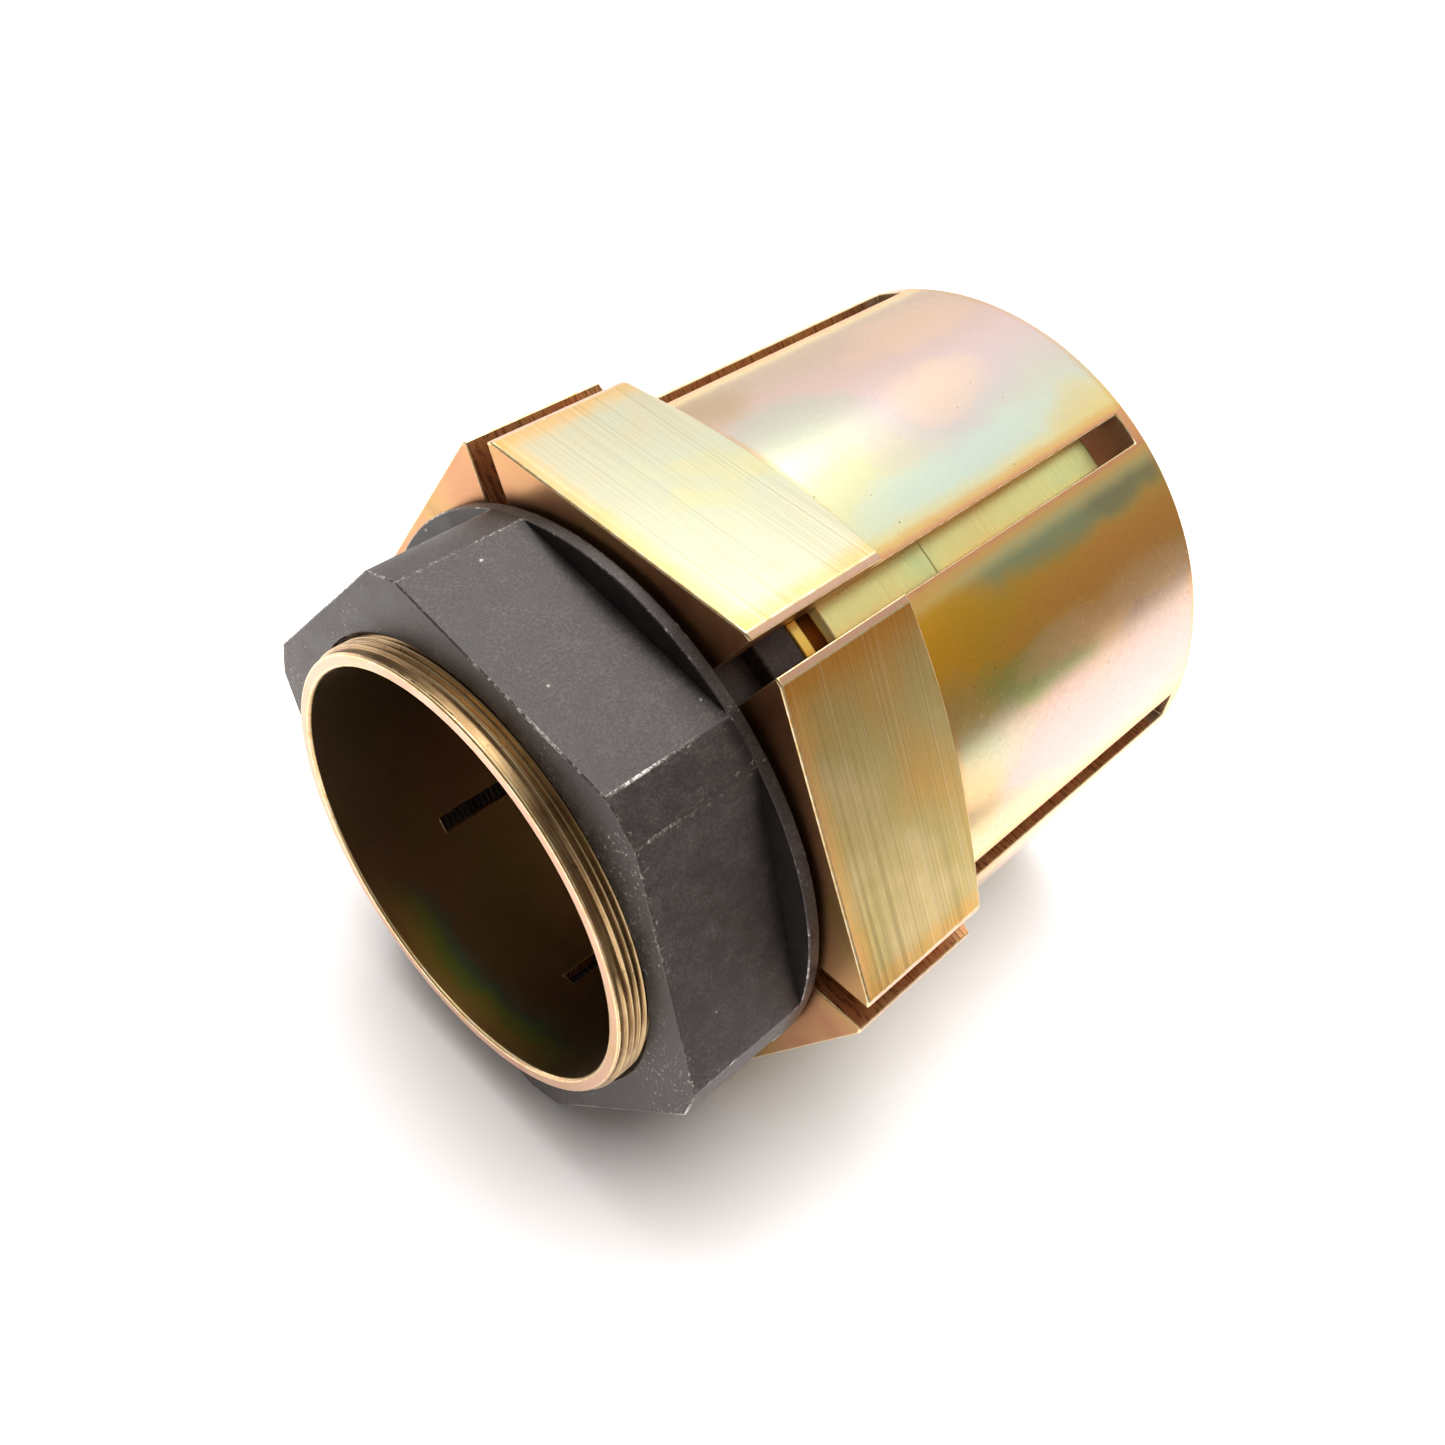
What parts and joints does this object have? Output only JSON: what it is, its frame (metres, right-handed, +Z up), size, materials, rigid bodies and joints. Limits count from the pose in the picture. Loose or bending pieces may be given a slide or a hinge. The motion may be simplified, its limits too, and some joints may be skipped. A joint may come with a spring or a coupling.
{
  "type": "keyless locking bushing",
  "caption": "Keyless locking bushing: turning the hexagon nut wedges a slotted inner sleeve in a slotted outer sleeve, so that it grips a shaft and a hub bore.",
  "frame": {"origin": "on the axis, at the front face of the outer sleeve's hexagon collar", "axes": "+X along the axis from the nut to the far end, +Z up through the middle of a collar flat; the bushing lies on the opposite flat"},
  "size_m": [0.087, 0.0814, 0.0732],
  "materials": {
    "zinc_outer": "yellow chromated zinc plate on turned and milled steel, with pink, green and blue iridescence",
    "zinc_inner": "yellow chromated zinc plate on turned steel, darker in the bore",
    "black_oxide": "satin black oxide on turned and milled steel, bare at the chipped edges",
    "gold_zinc": "bright yellow chromated zinc plate"
  },
  "bodies": {
    "outer_body": {"outer_sleeve": "zinc_outer"},
    "inner_body": {"inner_sleeve": "zinc_inner"},
    "nut_body": {"lock_nut": "black_oxide"},
    "washer_body": {"thrust_washer": "gold_zinc"}
  },
  "joints": [
    {"name": "nut_turn", "type": "hinge", "parent": "outer_body", "child": "nut_body", "pos_m": [0, 0, 0], "axis": [1, 0, 0], "range_deg": [-360, 720]},
    {"name": "inner_draw", "type": "slide", "parent": "outer_body", "child": "inner_body", "axis": [-1, 0, 0], "range_m": [-0.0008, 0.0016]},
    {"name": "washer_spin", "type": "hinge", "parent": "outer_body", "child": "washer_body", "pos_m": [0, 0, 0], "axis": [1, 0, 0], "continuous": true}
  ],
  "couplings": [
    {"joint": "inner_draw", "follows": "nut_turn", "m_per_rad": 0.0001273}
  ]
}
